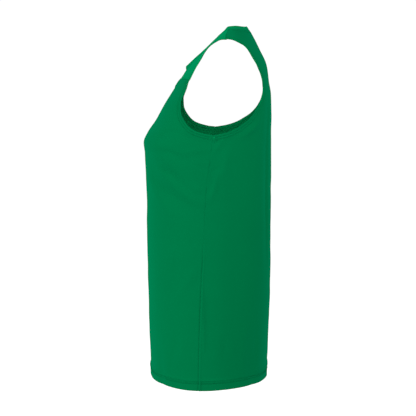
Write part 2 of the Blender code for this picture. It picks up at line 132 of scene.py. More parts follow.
# Front strap as x, y and z: its armhole edge, and the neck seam down to the centre front
FRONT_STRAP_EDGE = (
    (SHOULDER_TIP_X, 0.0, -0.0093), (0.1311, -0.0086, -0.01), (0.1315, -0.0213, -0.015),
    (0.132, -0.0322, -0.0222), (0.1326, -0.0449, -0.0367), (0.1335, -0.0521, -0.0511),
    (0.1346, -0.0594, -0.0656),
)
FRONT_NECK_SEAM = (
    (NECK_POINT_X, 0.0, NECK_POINT_Z), (0.085, -0.0022, 0.0091), (0.0849, -0.0052, 0.0064),
    (0.0844, -0.0115, -0.0023), (0.0818, -0.024, -0.0141), (0.0765, -0.035, -0.0247),
    (0.066, -0.047, -0.0362), (0.05, -0.0598, -0.0496), (0.03, -0.0693, -0.0608),
    (0.013, -0.0742, -0.0666), (0.0, -0.0752, -0.068),
)

# ---- sewing and folds
CLOTH = 0.0008  # one layer of knit
CLOTH_EASE = 0.0005  # of the cloth between its folds, over the form
THINNEST = 0.0002
TURNED = 0.0017  # a turned hem
EDGE_ROUND = 0.0008
EDGE_THINNING = 1.9
THICKNESS_RAMP = 0.0006  # over which a layer ends
ARMHOLE_HEM = 0.0105
ARMHOLE_ROWS = (0.0045, 0.009)
ARMHOLE_RAISE = 0.00045
ARMHOLE_RIPPLE = (0.027, 0.00014)
ARMHOLE_REACH = 0.04
BOTTOM_HEM = 0.0177
BOTTOM_ROWS = (0.013, 0.0168)
BOTTOM_RAISE = 0.001
BOTTOM_RIPPLE = (0.061, 0.00012)
RIPPLE_FADE = 0.006  # of a hem's ripples into the cloth beside it
NECK_ROW = 0.0064
NECK_HEM = 0.0076  # the double cloth below the neck seam
NECK_RAISE = 0.0003
NECK_CLOTH = CLOTH * 1.6
BAND_CLOTH = 0.0006  # one layer of the neckband, which is stretched a little
BAND_SWELL = 0.0011  # half its thickness, folded
BAND_FLATNESS = 0.75  # below 1, its two sides are flatter than an ellipse
BAND_OPENING = 0.25  # radians left open at its lower side
BAND_SUNK = 0.0002  # how far its lower edge lies below the neck edge
BAND_BEHIND = 0.0003  # and how far its middle lies behind that
BAND_STATIONS = 240
BAND_SIDES = 24
BAND_SMOOTHING = 0.2
BAND_RIPPLE = (0.017, 0.00008)
STITCH_PITCH = 0.0028
STITCH_LENGTH = 0.0021
STITCH_RADIUS = 0.0003
PACE = 0.0012
GROOVE_DEPTH = 0.0008  # of a row of stitches
GROOVE_WIDTH = 0.001
ROW_SWELL = 0.00045  # of the cloth between two rows of stitches
ROW_SWELL_WIDTH = 0.0013
# Grooves (below zero) and ridges beside an edge: distance from it, half width and height
HEM_BULGE = (BOTTOM_HEM + 0.0014, 0.0022, 0.0009)
SHOULDER_GROOVE = (0.0, 0.0008, -0.0009)
SHOULDER_RIDGE = (0.0035, 0.0022, 0.00045)
YOKE_GROOVE = (0.0, 0.0009, -0.0009)
NECK_GROOVE = (0.0, 0.0009, -0.0004)
NECK_ROW_GROOVE = (NECK_ROW, GROOVE_WIDTH, -0.0004)
SIDE_GROOVE = (0.0, 0.001, -0.0006)
SIDE_RIDGE = (0.003, 0.0018)
SIDE_RAISE_FRONT = 0.0001
SIDE_RAISE_BACK = 0.00055
SIDE_RAISE_MORE = (0.29, 0.08, 0.0008)  # as shares of the seam's length from the hem up, and height
SIDE_CLEAR_BELOW = 0.62  # share of its length above which a side seam is faint
SIDE_CLEAR_FADE = 0.2
SIDE_FAINTEST = 0.08
SIDE_RIPPLE = (0.043, 0.0002)
SIDE_RIPPLE_FADE = 0.012
CROSSING_RAISE = 0.0012  # where a side seam is folded into a hem
YOKE_RAISE = 0.0015  # of the front panel over the yoke seam's allowance
YOKE_RAISE_FADES = (0.0016, 0.006, 0.006)  # up from the seam, then level as far as this, and down
HEM_FLATTENING = 0.8  # of the yoke seam where a hem crosses it
# Parts of the uneven little waves along a line of sewing: pitch, phase, height
RIPPLES = (
    (1.0, 1.3, 0.6), (0.61, 0.4, 0.4), (2.3, 2.2, 0.5),
)

# Soft troughs (depth below zero) and ridges, in degrees and millimetres: start angle and drop, end angle and
# drop, half width, depth. Down to the comment line in each, they follow the solids' folds.
FRONT_FOLDS = (
    (24, 193, 62, 188, 12, -2),
    (16, 225, 74, 262, 13, -2.2),
    (30, 245, 82, 330, 16, -2.4),
    (22, 262, 70, 345, 14, 1.8),
    (-28, 198, -64, 190, 13, -2),
    (-14, 232, -76, 280, 14, -2.2),
    (-26, 268, -80, 352, 16, -2.2),
    (40, 585, 44, 700, 14, -2),
    (-50, 560, -46, 700, 16, -2),
    # on its left, which the photograph shows
    (42, 190, 52, 177, 5, -1.5),
    (48, 179, 66, 178, 5, -1.5),
    (62, 177, 88, 196, 5, -1.6),
    (74, 214, 92, 209, 5, 1.3),
    (28, 218, 50, 215, 6, -1.4),
    (46, 215, 63, 216, 6, -1.5),
    (59, 214, 80, 232, 6, -1.5),
    (80, 228, 91, 237, 5.5, 1.1),
    (42, 233, 66, 261, 6.5, -1.8),
    (60, 254, 86, 294, 6.5, -1.9),
    (40, 243, 64, 275, 7, 1.4),
    (58, 267, 88, 313, 7, 1.4),
    (76, 277, 90, 285, 6, 1),
    (30, 258, 55, 287, 8, -1.2),
    (48, 279, 82, 319, 8, -1.2),
    (41, 331, 78, 339, 3.5, -0.5),
    (58, 396, 64, 398, 7.5, 0.9),
    (78, 370, 82, 384, 6.5, -0.8),
    (63, 415, 62, 455, 8, -0.8),
    (86, 415, 58, 503, 10, 1),
    (63, 552, 55, 612, 7, -1.3),
    (70, 545, 67, 600, 8, 0.8),
    # on its right, and in its middle
    (-40, 184, -60, 172, 5.5, -2),
    (-60, 172, -80, 182, 5, -2),
    (-66, 214, -85, 228, 6, -2.1),
    (-50, 240, -82, 300, 8, -2.2),
    (-33, 244, -74, 315, 8, 2.1),
    (-79, 278, -88, 302, 6, 1.7),
    (-52, 340, -74, 348, 6, -1.3),
    (-62, 530, -64, 620, 8, -1.7),
    (-18, 540, -16, 640, 12, -2),
    (12, 575, 15, 645, 11, -1.2),
    (-6, 215, 8, 330, 15, -1.7),
    (6, 110, 30, 150, 12, 1),
    (-10, 112, -34, 156, 13, 1.4),
)
BACK_FOLDS = (
    (105, 205, 98, 262, 12, 2),
    (150, 130, 152, 430, 15, -2.2),
    (-148, 150, -153, 460, 16, -2.2),
    (-104, 210, -97, 275, 13, 2),
    (128, 520, 133, 700, 18, -2.4),
    (-135, 500, -130, 700, 18, -2.4),
    (172, 540, 176, 700, 16, -1.4),
    # finer ones, left and then right
    (93, 213, 99, 190, 4.5, 1.4),
    (91, 300, 95, 258, 4, 1.5),
    (91, 250, 97, 241, 4.5, -1),
    (110, 190, 134, 159, 8, 3.6),
    (153, 150, 154, 420, 6, -1.4),
    (87, 465, 87, 575, 3.5, 1.4),
    (119, 494, 122, 526, 7, -1.4),
    (121, 530, 124, 556, 8, 1.4),
    (101, 552, 102, 592, 7, -1.3),
    (114, 560, 114, 594, 6, -1.1),
    (136, 545, 138, 600, 8, -1.7),
    (-97, 198, -94, 232, 6, 2.1),
    (-106, 180, -122, 186, 7, 2.1),
    (-118, 500, -124, 560, 8, -2.1),
    (-108, 560, -106, 650, 8, -1.8),
    (-165, 90, -150, 200, 14, 1.2),
    (166, 100, 153, 190, 14, 1.2),
    (178, 300, -176, 470, 20, -1.5),
)
FOLD_END = 0.1  # a fold rises as half a sine wave without this share at each end
# Slow unevenness of hanging cloth: waves round, waves in WAVE_DROP, phase, height
WAVE_DROP = 0.1
WAVE_START = 0.05
WAVE_FADE = 0.15
WAVES = (
    (3.1, 7.0, 0.4, 0.00016),
    (5.3, -11.0, 1.9, 0.00013),
    (7.7, 4.0, 3.3, 0.00012),
    (2.3, 17.0, 5.1, 0.00008),
)

# Colours, linear
GREEN = (0.0, 0.085, 0.0276, 1.0)
GREEN_DEEP = (0.0, 0.0797, 0.0258, 1.0)
YOKE_PAINTED_HIGHLIGHT = 1.4  # painted highlight: the yoke's strap faces up to the light and glows through its thin cloth, so its green is made lighter than the panels'
# painted highlight: the neckband's top faces up to the light, so its green is made lighter
BAND_PAINTED_HIGHLIGHT = 1.35
WRONG_SIDE_PAINTED_LIGHT = 2.6  # painted light: the inside of the garment is made a lighter green to stand in for light coming through the cloth
THREAD = (0.0, 0.088, 0.029, 1.0)
THREAD_DEEP = (0.0, 0.07, 0.023, 1.0)
SHEEN = 0.06
SHEEN_TINT = (0.0, 1.0, 0.55, 1.0)
FLOOR_WHITE = (0.98, 0.98, 0.98, 1.0)
WALE = 0.0009  # one column of loops
COURSE = 0.0007  # one row of loops
WAVE_SCALE = 2 * math.pi / 20  # a wave texture's scale for bands one metre wide

# Light
WORLD_STRENGTH = 1.04
# Round lamps: name, place, width, power, and the point that each is turned to
LAMPS = (
    ("key", (1.09, -3.73, 1.52), 1.3, 155.0, (0.1, -0.05, -0.25)),
    ("fill", (0.9, 0.5, 0.4), 0.4, 7.8, (0.12, 0.06, -0.1)),
    ("side", (4.3, 0.0, 0.6), 1.3, 60.0, (0.0, 0.0, -0.3)),
)

# Camera
CAMERA_DISTANCE = 3.4
CAMERA_TURN = math.radians(0.4)
CAMERA_PITCH = math.radians(5.249)
CAMERA_CENTRE_Y = -0.034
CAMERA_Z = -0.0186
CAMERA_LENS = 154.47
FLOOR_Z = -1.38

HANDS = ("left", "right")


# ---- curves and form

def curve(knots, values):
    """Monotone cubic through the values."""
    knots = np.asarray(knots, float)
    values = np.asarray(values, float)
    steps = np.diff(knots)
    slopes = np.diff(values) / steps
    same_way = slopes[:-1] * slopes[1:] > 0
    total = np.where(same_way, slopes[:-1] + slopes[1:], 1)
    inner = np.where(same_way, 2 * slopes[:-1] * slopes[1:] / total, 0)
    tangents = np.concatenate((slopes[:1], inner, slopes[-1:]))

    def at(knot):
        knot = np.asarray(knot, float)
        i = np.clip(np.searchsorted(knots, knot) - 1, 0, len(steps) - 1)
        t = np.clip((knot - knots[i]) / steps[i], 0, 1)
        ends = values[i] + (values[i + 1] - values[i]) * t * t * (3 - 2 * t)
        return ends + steps[i] * (tangents[i] * t * (1 - t) ** 2 + tangents[i + 1] * t * t * (t - 1))
    return at


def gaps(points, axis=0):
    return np.linalg.norm(np.diff(points, axis=axis), axis=-1)


def run_of(points):
    """Length of a polyline up to each of its points."""
    return np.concatenate(([0], np.cumsum(gaps(points))))


def sampled(at, run, points):
    """Points of a polyline where its run is at."""
    return np.stack([np.interp(at, run, points[:, k]) for k in range(3)], axis=-1)


def path(points, places=None):
    """Curve through points for 0 to 1, at an even pace through their places."""
    points = np.asarray(points, float)
    run = run_of(points if places is None else np.asarray(places, float))
    curves = [curve(run / run[-1], points[:, k]) for k in range(points.shape[1])]
    return lambda t: np.stack([c(t) for c in curves], axis=-1)


def step(t):
    t = np.clip(t, 0, 1)
    return t * t * (3 - 2 * t)


def unit(v):
    return v / np.maximum(np.linalg.norm(v, axis=-1, keepdims=True), 1e-12)


SECTION_CURVES = [curve(np.sqrt(BODY_SECTIONS[:, 0]), BODY_SECTIONS[:, k]) for k in range(1, 7)]
SIDE_SEAM_Y = curve(*zip(*SIDE_SEAM))
HEM_SAG_AT = curve(*zip(*HEM_SAG))


def shoulder_lift(x, drop):
    slope = math.tan(SHOULDER_SLOPE)
    beyond = np.abs(x) - NECK_POINT_X
    crown = 1 - np.minimum(np.abs(x) / NECK_POINT_X, 1) ** SHOULDER_CROWN
    across = slope * NECK_POINT_X / SHOULDER_CROWN * crown
    height = NECK_POINT_Z + np.where(beyond > 0, -slope * beyond, across)
    return height * np.maximum(0, 1 - drop / SHOULDER_FADE) ** 2


def section(drop):
    return [c(np.sqrt(np.maximum(drop, 0))) for c in SECTION_CURVES]


def form_point(angle, drop):
    angle, drop = np.broadcast_arrays(np.asarray(angle, float), np.asarray(drop, float))
    front, back, half_width, n_front, n_left, n_right = section(drop)
    cosine, sine = np.cos(angle), np.sin(angle)
    power = 2 / np.where(cosine >= 0, n_front, np.where(sine >= 0, n_left, n_right))
    x = half_width * np.sign(sine) * np.abs(sine) ** power
    y = (front + back) / 2 - (back - front) / 2 * np.sign(cosine) * np.abs(cosine) ** power
    return np.stack((x, y, shoulder_lift(x, drop) - drop), axis=-1)


def form_normal(angle, drop):
    d = 0.002
    along = form_point(angle + d, drop) - form_point(angle - d, drop)
    down = form_point(angle, drop + d) - form_point(angle, np.maximum(drop - d, 0))
    return unit(np.cross(down, along))


def angle_at(y, drop):
    front, back, _, n_front, n_left, _ = section(drop)
    reach = ((front + back) / 2 - y) / ((back - front) / 2)
    power = np.where(reach >= 0, n_front, n_left) / 2
    return np.arccos(np.sign(reach) * np.minimum(np.abs(reach), 1) ** power)


def back_angle_at(x, drop, right=False):
    _, _, half_width, _, n_left, n_right = section(drop)
    power = (n_right if right else n_left) / 2
    return math.pi - np.arcsin(np.minimum(np.abs(x) / half_width, 1) ** power)


def on_form(y, z):
    y, z = np.asarray(y, float), np.asarray(z, float)
    drop = -z
    for _ in range(20):
        angle = angle_at(y, drop)
        drop = shoulder_lift(form_point(angle, drop)[..., 0], drop) - z
    return np.stack((angle, drop), axis=-1)


def mirrored(pairs):
    """Places on the right of the form, as far out and as far down as places on its left."""
    angle, drop = pairs[..., 0], pairs[..., 1]
    x = form_point(angle, drop)[..., 0]
    turned = np.where(np.cos(angle) >= 0, -angle, -back_angle_at(x, drop, right=True))
    return np.stack((turned, drop), axis=-1)


def place_points(pairs):
    return form_point(pairs[..., 0], pairs[..., 1])


def settled(points):
    """Points of the garment once its shoulder seams lean back and its hem hangs a little unevenly."""
    y, z = points[..., 1], points[..., 2]
    risen = step((z - LEAN_Z[0]) / (LEAN_Z[1] - LEAN_Z[0]))
    lean = SHOULDER_LEAN * risen * (1 - step(y / LEAN_BACK_Y))
    beside = np.clip(points[..., 0] / STRAP_TWIST_X, -1, 1) * step(-y / STRAP_TWIST_Y)
    lean += STRAP_TWIST * beside * np.exp(-((z - STRAP_TWIST_Z) / STRAP_TWIST_SPREAD) ** 2)
    sag = HEM_SAG_AT(y) * step((HEM_SAG_TOP_Z - z) / (HEM_SAG_TOP_Z + HEM_DROP))
    return points + np.stack((np.zeros_like(y), lean, -sag), axis=-1)


# ---- edges of the panels

def edge_path(pairs):
    return path(pairs, place_points(pairs))


def side_seam_edge(t):
    drop = HEM_DROP + (UNDERARM_DROP - HEM_DROP) * np.asarray(t, float)
    return np.stack((angle_at(SIDE_SEAM_Y(drop), drop), drop), axis=-1)


FRONT_EDGE = edge_path(on_form(*zip(*FRONT_ARMHOLE)))
STRAP_X, STRAP_DROP = (np.array(column) for column in zip(*BACK_STRAP_EDGE))
BACK_EDGE = edge_path(np.concatenate((
    on_form(*zip(*BACK_ARMHOLE)), np.stack((back_angle_at(STRAP_X, STRAP_DROP), STRAP_DROP), axis=-1))))


def yoke_seam_drop(angle):
    x = form_point(angle, YOKE_SEAM_SIDE_DROP)[..., 0]
    risen = step(np.abs(x) / YOKE_SEAM_LEVEL_X)
    return YOKE_SEAM_CENTRE_DROP + (YOKE_SEAM_SIDE_DROP - YOKE_SEAM_CENTRE_DROP) * risen


def back_neck_drop(x):
    """Drop of the back neck seam at distances from the centre, by halving."""
    x = np.minimum(np.abs(x), NECK_POINT_X)
    reach = BACK_NECK_DEPTH * (1 - (x / NECK_POINT_X) ** NECK_ROUNDNESS) ** (1 / NECK_ROUNDNESS)
    low, high = np.zeros_like(x), np.full_like(x, SHOULDER_FADE)
    for _ in range(40):
        drop = (low + high) / 2
        front, back, half_width, _, n_left, _ = section(drop)
        y = (front + back) / 2 + (back - front) / 2 * (1 - (x / half_width) ** n_left) ** (1 / n_left)
        low, high = np.where(y < reach, drop, low), np.where(y < reach, high, drop)
    return np.where(reach > 0, high, 0.0)


YOKE_TIP_ANGLE = float(FRONT_EDGE(1.0)[0])
YOKE_CORNER_PAIR = on_form(*FRONT_ARMHOLE[-1])
YOKE_CORNER_NORMAL = form_normal(*YOKE_CORNER_PAIR)
NECK_FRONT = path(FRONT_NECK_SEAM)
STRAP_EDGE = path(np.vstack((FRONT_STRAP_EDGE, place_points(YOKE_CORNER_PAIR))))
TIP_ANGLE = float(back_angle_at(SHOULDER_TIP_X, 0.0))
NECK_SHARE = float((math.pi - back_angle_at(NECK_POINT_X, 0.0)) / (math.pi - TIP_ANGLE))


def back_top_drop(share):
    x = form_point(math.pi + (TIP_ANGLE - math.pi) * share, np.zeros_like(share))[..., 0]
    return np.where(share >= NECK_SHARE - 1e-9, 0.0, back_neck_drop(x))


def yoke_outer(t):
    """Outer edge of the yoke's left half at t, and the form's normal where the patch follows the form."""
    if t < YOKE_CORNER:
        follow = step(1 - (YOKE_CORNER - t) / YOKE_CORNER_FADE)
        return STRAP_EDGE(t / YOKE_CORNER), YOKE_CORNER_NORMAL * follow
    angle = YOKE_CORNER_PAIR[0] * (1 - (t - YOKE_CORNER) / (1 - YOKE_CORNER))
    drop = yoke_seam_drop(angle)
    return form_point(angle, drop), form_normal(angle, drop)


def dense(points, pitch=0.0004):
    """A polyline's points again at an even pitch."""
    run = run_of(points)
    return sampled(np.linspace(0, run[-1], max(2, int(run[-1] / pitch))), run, points)


FINE = np.linspace(0, 1, 400)


def edge_lines():
    """Every edge of the panels as a dense line, left and right."""
    lines = {}
    side = side_seam_edge(FINE)
    front, back = FRONT_EDGE(FINE), BACK_EDGE(FINE)
    strap = STRAP_EDGE(FINE)[::-1]
    shoulder_x = np.linspace(NECK_POINT_X, SHOULDER_TIP_X, 60)
    shoulder = np.stack((back_angle_at(shoulder_x, 0.0), np.zeros(60)), axis=-1)
    flip = np.array((-1, 1, 1))
    for name, turn in (("left", lambda pairs: pairs), ("right", mirrored)):
        sign = 1 if name == "left" else flip
        lines["side", name] = dense(place_points(turn(side)))
        lines["shoulder", name] = dense(place_points(turn(shoulder)))
        lines["armhole", name] = dense(np.concatenate((
            place_points(turn(front))[:-1], (strap * sign)[:-1], place_points(turn(back))[::-1])))
    seam_angle = np.linspace(-YOKE_TIP_ANGLE, YOKE_TIP_ANGLE, 600)
    lines["yoke"] = dense(form_point(seam_angle, yoke_seam_drop(seam_angle)))
    x = NECK_POINT_X * np.sin(np.linspace(0, math.pi / 2, 200))
    nape = np.stack((back_angle_at(x, back_neck_drop(x)), back_neck_drop(x)), axis=-1)
    left_neck = np.concatenate((place_points(nape)[:-1], NECK_FRONT(FINE)[:-1]))
    right_neck = np.concatenate(((NECK_FRONT(FINE) * flip)[::-1][:-1], place_points(mirrored(nape))[::-1]))
    lines["neck"] = dense(np.concatenate((left_neck, right_neck)))
    around = np.radians(np.linspace(-180, 180, 900))
    lines["hem"] = dense(form_point(around, np.full(900, HEM_DROP)))
    return lines


LINES = edge_lines()
TREES = {}


def distance_to(name, points):
    """Distance of points from an edge line, and how far along the line its nearest point lies."""
    if name not in TREES:
        tree = kdtree.KDTree(len(LINES[name]))
        for i, p in enumerate(LINES[name]):
            tree.insert(p, i)
        tree.balance()
        TREES[name] = tree, run_of(LINES[name])
    tree, run = TREES[name]
    _, nearest, distance = zip(*(tree.find(p) for p in points.reshape(-1, 3)))
    return np.reshape(distance, points.shape[:-1]), np.reshape(run[list(nearest)], points.shape[:-1])


# ---- heights above the form

def fold_height(panel, angle, drop):
    u, v = angle * FORM_RADIUS, drop
    total = np.full(np.shape(angle), CLOTH_EASE)
    for a0, d0, a1, d1, half_width, depth in FRONT_FOLDS if panel == "front_panel" else BACK_FOLDS:
        u0, v0 = math.radians(a0) * FORM_RADIUS, d0 / 1000
        if abs(a1 - a0) > 180:
            a1 += 360 if a1 < a0 else -360
        du, dv = math.radians(a1) * FORM_RADIUS - u0, d1 / 1000 - v0
        turn = np.round((u - u0) / (2 * math.pi * FORM_RADIUS)) * 2 * math.pi * FORM_RADIUS
        along = np.clip(((u - turn - u0) * du + (v - v0) * dv) / (du * du + dv * dv), 0, 1)
        aside = np.hypot(u - turn - u0 - du * along, v - v0 - dv * along) / half_width * 1000
        full = np.sin(math.pi * (FOLD_END + (1 - 2 * FOLD_END) * along))
        total += depth / 1000 * np.exp(-aside * aside) * full
    for around, down, phase, height in WAVES:
        wave = np.sin(around * angle + down * v / WAVE_DROP + phase)
        total += height * wave * step((v - WAVE_START) / WAVE_FADE)
    return total


def ridge(distance, at, half_width, height):
    return height * np.exp(-((distance - at) / half_width) ** 2)


def plateau(distance, width, ramp=0.0016):
    return 1 - step((distance - width) / ramp)


def rounded(distance):
    """Height of a folded edge below the cloth beside it."""
    t = np.clip(1 - distance / EDGE_ROUND, 0, 1)
    return -EDGE_ROUND * (1 - np.sqrt(1 - t * t))


def ripple(along, pitch, height):
    """Uneven little waves along a line of sewing."""
    return height * sum(part * np.sin(along * 2 * math.pi / (pitch * scale) + phase)
                        for scale, phase, part in RIPPLES)


def turned_hem(distance, along, width, rows, raised, waves):
    height = rounded(distance) + raised * plateau(distance, width)
    for row in rows:
        height += ridge(distance, row, GROOVE_WIDTH, -GROOVE_DEPTH)
    height += ridge(distance, (rows[0] + rows[1]) / 2, ROW_SWELL_WIDTH, ROW_SWELL)
    return height + ripple(along, *waves) * np.exp(-np.maximum(distance - width, 0) / RIPPLE_FADE)


def hem_thickness(distance, width, thick):
    thick = np.maximum(thick, TURNED * plateau(distance, width, THICKNESS_RAMP))
    return np.where(distance < EDGE_ROUND, TURNED + rounded(distance) * EDGE_THINNING, thick)


def side_seam_height(distance, along, hemmed, back):
    """Groove of a side seam, and beside it the ridge over its allowances, which lie to the back."""
    risen = along / along.max()
    clear = SIDE_FAINTEST + (1 - SIDE_FAINTEST) * step((SIDE_CLEAR_BELOW - risen) / SIDE_CLEAR_FADE)
    raised = SIDE_RAISE_FRONT
    if back:
        raised = (SIDE_RAISE_BACK + ridge(risen, *SIDE_RAISE_MORE)) * clear + CROSSING_RAISE * hemmed
    height = ridge(distance, *SIDE_GROOVE) * clear + ridge(distance, *SIDE_RIDGE, raised)
    return height + ripple(along, *SIDE_RIPPLE) * np.exp(-distance / SIDE_RIPPLE_FADE)


def sewing_height(points, panel):
    """Height of hems and seams at points of a panel, and how thick the cloth is there."""
    height = np.zeros(points.shape[:-1])
    thick = np.full(points.shape[:-1], CLOTH)
    back = panel == "back_panel"
    hemmed = np.zeros(points.shape[:-1])
    if panel != "front_yoke":
        d = HEM_DROP + points[..., 2]
        along = np.arctan2(points[..., 0], -points[..., 1]) * FORM_RADIUS
        height += turned_hem(d, along, BOTTOM_HEM, BOTTOM_ROWS, BOTTOM_RAISE, BOTTOM_RIPPLE)
        height += ridge(d, *HEM_BULGE)
        hemmed = plateau(d, BOTTOM_HEM)
        thick = hem_thickness(d, BOTTOM_HEM, thick)
    for hand in HANDS:
        d, along = distance_to(("armhole", hand), points)
        hem = turned_hem(d, along, ARMHOLE_HEM, ARMHOLE_ROWS, ARMHOLE_RAISE, ARMHOLE_RIPPLE)
        height += hem * (d < ARMHOLE_REACH)
        hemmed = np.maximum(hemmed, plateau(d, ARMHOLE_HEM))
        thick = hem_thickness(d, ARMHOLE_HEM, thick)
    for hand in HANDS:
        if panel != "front_panel":
            d, _ = distance_to(("shoulder", hand), points)
            height += ridge(d, *SHOULDER_GROOVE)
            height += ridge(d, *SHOULDER_RIDGE) * back
        if panel != "front_yoke":
            d, along = distance_to(("side", hand), points)
            height += side_seam_height(d, along, hemmed, back)
    if panel != "back_panel":
        d, _ = distance_to("yoke", points)
        flattened = 1 - HEM_FLATTENING * hemmed
        height += ridge(d, *YOKE_GROOVE) * flattened
        if panel == "front_panel":
            up, level, down = YOKE_RAISE_FADES
            height += YOKE_RAISE * plateau(d, level, down) * step(d / up) * flattened
    if panel != "front_panel":
        d, _ = distance_to("neck", points)
        height += ridge(d, *NECK_GROOVE) + ridge(d, *NECK_ROW_GROOVE)
        height += NECK_RAISE * plateau(d, NECK_HEM)
        thick = np.maximum(thick, NECK_CLOTH * plateau(d, NECK_HEM, THICKNESS_RAMP))
    return height, np.maximum(thick, THINNEST)


# ---- meshes

# Where the grids are fine, at the sewing: above the hem, in from a side or armhole edge, below the top of a
# panel, and in from an edge of the yoke
HEM_MARKS = np.array((0, 0.3, 0.6, 1, 2, 4, 6, 8.5, 11.2, 12.4, 13, 13.6, 14.9, 16.2, 16.8, 17.4,
                      18, 18.9, 20, 21.5, 23, 25)) / 1000
EDGE_BAND = np.array((0, 0.3, 0.6, 1, 1.8, 2.8, 3.8, 4.5, 5.2, 6.1, 7.2, 8.3, 9, 9.7, 10.6, 11.6,
                      12.8)) / 1000
TOP_MARKS = np.array((14, 12.6, 11.6, 10.6, 9.9, 9.2, 8.5, 7.4, 6.4, 5.4, 4.2, 3, 2.2, 1.4, 0.7, 0.3,
                      0)) / 1000
YOKE_MARKS = np.array((0, 0.3, 0.7, 1.2, 2, 3, 4, 4.6, 5.3, 6.4, 7.4)) / 1000
YOKE_MARKS_SHARE = 0.4  # of a narrow width that these may take up
YOKE_COLUMNS = 14  # between them
# Rows of the yoke as shares of its outer edge, closer at the shoulder and beside the corner
YOKE_ROWS = np.concatenate((
    (0, 0.002, 0.005), np.linspace(0.01, YOKE_CORNER - 0.012, 46),
    YOKE_CORNER - np.array((0.007, 0.003, 0)), np.linspace(YOKE_CORNER + 0.004, 1, 60)))
ROW_PITCH = 0.003
COLUMNS = 70  # from a panel's centre to its band of fine ones
FRONT_RISE = 0.15  # cloth above the underarm, which sets the number of rows
BACK_RISE = 0.225
FINE_SHARES = np.linspace(0, 1, 161) ** 1.3
NECK_COLUMNS_SHARE = 0.66  # of a back row's columns, from the centre to the neck point


def new_mesh(name, verts, faces):
    mesh = bpy.data.meshes.new(name)
    mesh.from_pydata(verts.tolist(), [], faces)
    mesh.shade_smooth()
    return mesh


def new_object(name, data):
    made = bpy.data.objects.new(name, data)
    scene.collection.objects.link(made)
    return made


def grid_index(grid):
    """Numbers of a grid's points."""
    return np.arange(grid.shape[0] * grid.shape[1]).reshape(grid.shape[:2])


def grid_faces(index):
    corners = (index[:-1, :-1], index[:-1, 1:], index[1:, 1:], index[1:, :-1])
    return np.stack(corners, axis=-1).reshape(-1, 4)


def cloth_mesh(name, outer, thick, flat, materials):
    """A closed thin shell below a grid of outer points, with a UV map in metres of flat cloth."""
    across = np.gradient(outer, axis=1)
    up = np.gradient(outer, axis=0)
    normal = unit(np.cross(across, up))
    inner = outer - normal * thick[..., None]
    index = grid_index(outer)
    count = index.size
    shown = grid_faces(index)
    rim = np.concatenate((index[0], index[1:, -1], index[-1, ::-1][1:], index[::-1, 0][1:]))
    edge = np.stack((rim[1:], rim[:-1], rim[:-1] + count, rim[1:] + count), axis=-1)
    faces = np.concatenate((shown, shown[:, ::-1] + count, edge))
    mesh = new_mesh(name, np.concatenate((outer.reshape(-1, 3), inner.reshape(-1, 3))), faces.tolist())
    layer = mesh.uv_layers.new(name="flat")
    uv = np.concatenate((flat.reshape(-1, 2), flat.reshape(-1, 2)))[faces.ravel()]
    layer.data.foreach_set("uv", uv.ravel())
    side = np.zeros(len(faces), dtype=int)
    side[len(shown):2 * len(shown)] = 1
    mesh.polygons.foreach_set("material_index", side)
    return finish_piece(name, mesh, *materials)


def finish_piece(name, mesh, *materials):
    mesh.validate()
    for material in materials:
        mesh.materials.append(material)
    piece = new_object(name, mesh)
    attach(piece, "root")
    return piece


def row_positions(run_row, shares, neck_share, columns, band):
    """Shares of a row for its columns: at even lengths from the centre, and at fixed ones near the edge."""
    total = run_row[-1]
    inner_end = total - band[-1]
    if neck_share is None:
        marks = np.linspace(0, inner_end, columns + 1)
    else:
        at_neck = np.interp(neck_share, shares, run_row)
        first = int(columns * NECK_COLUMNS_SHARE)
        marks = np.concatenate((np.linspace(0, at_neck, first + 1)[:-1],
                                np.linspace(at_neck, inner_end, columns - first + 1)))
    marks = np.concatenate((marks[:-1], total - band[::-1]))
    return np.interp(marks, run_row, shares), marks


def panel_pairs(centre, armhole_edge, top_drop, levels, columns, band, neck_share=None):
    """Places of the left half of a panel, rows from the hem up, columns from the centre to the edge."""
    corner_drop = side_seam_edge(1.0)[1]
    top_edge_drop = armhole_edge(1.0)[1]

    def place(share, level):
        if level <= 1:
            angle, edge_drop = side_seam_edge(level)
            middle = HEM_DROP + (CORNER_ROW_DROP - HEM_DROP) * level
            drop = middle + (edge_drop - middle) * share ** (1 + (CORNER_SHARPNESS - 1) * level)
        else:
            angle, edge_drop = armhole_edge(level - 1)
            start = CORNER_ROW_DROP + (corner_drop - CORNER_ROW_DROP) * share ** CORNER_SHARPNESS
            edge_done = (corner_drop - edge_drop) / (corner_drop - top_edge_drop)
            follow = share ** EDGE_SHARPNESS
            done = (level - 1) * (1 - follow) + edge_done * follow
            drop = start + (top_drop(share) - start) * done
        return np.stack((centre + (angle - centre) * share, drop), axis=-1)

    pairs, flats = [], []
    for level in levels:
        row = place_points(place(FINE_SHARES, level))
        chosen, marks = row_positions(run_of(row), FINE_SHARES, neck_share, columns, band)
        pairs.append(place(chosen, level))
        flats.append(marks)
    return np.array(pairs), np.array(flats)


def build_panel(name, half, marks, materials):
    pairs = np.concatenate((mirrored(half[:, ::-1]), half[:, 1:]), axis=1)
    base = place_points(pairs)
    normal = form_normal(pairs[..., 0], pairs[..., 1])
    sewing, thick = sewing_height(base, name)
    height = sewing + fold_height(name, pairs[..., 0], pairs[..., 1])
    outer = settled(base + normal * height[..., None])
    across = np.concatenate((-marks[:, ::-1], marks[:, 1:]), axis=1)
    down = np.concatenate((np.zeros((1, across.shape[1])), np.cumsum(gaps(base), axis=0)))
    flat = np.stack((across, down), axis=-1)
    if name == "back_panel":
        outer, thick, flat = outer[:, ::-1], thick[:, ::-1], flat[:, ::-1]
    piece = cloth_mesh(name + "_cloth", outer, thick, flat, materials)
    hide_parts(name)
    return piece, outer, cut_of(base)


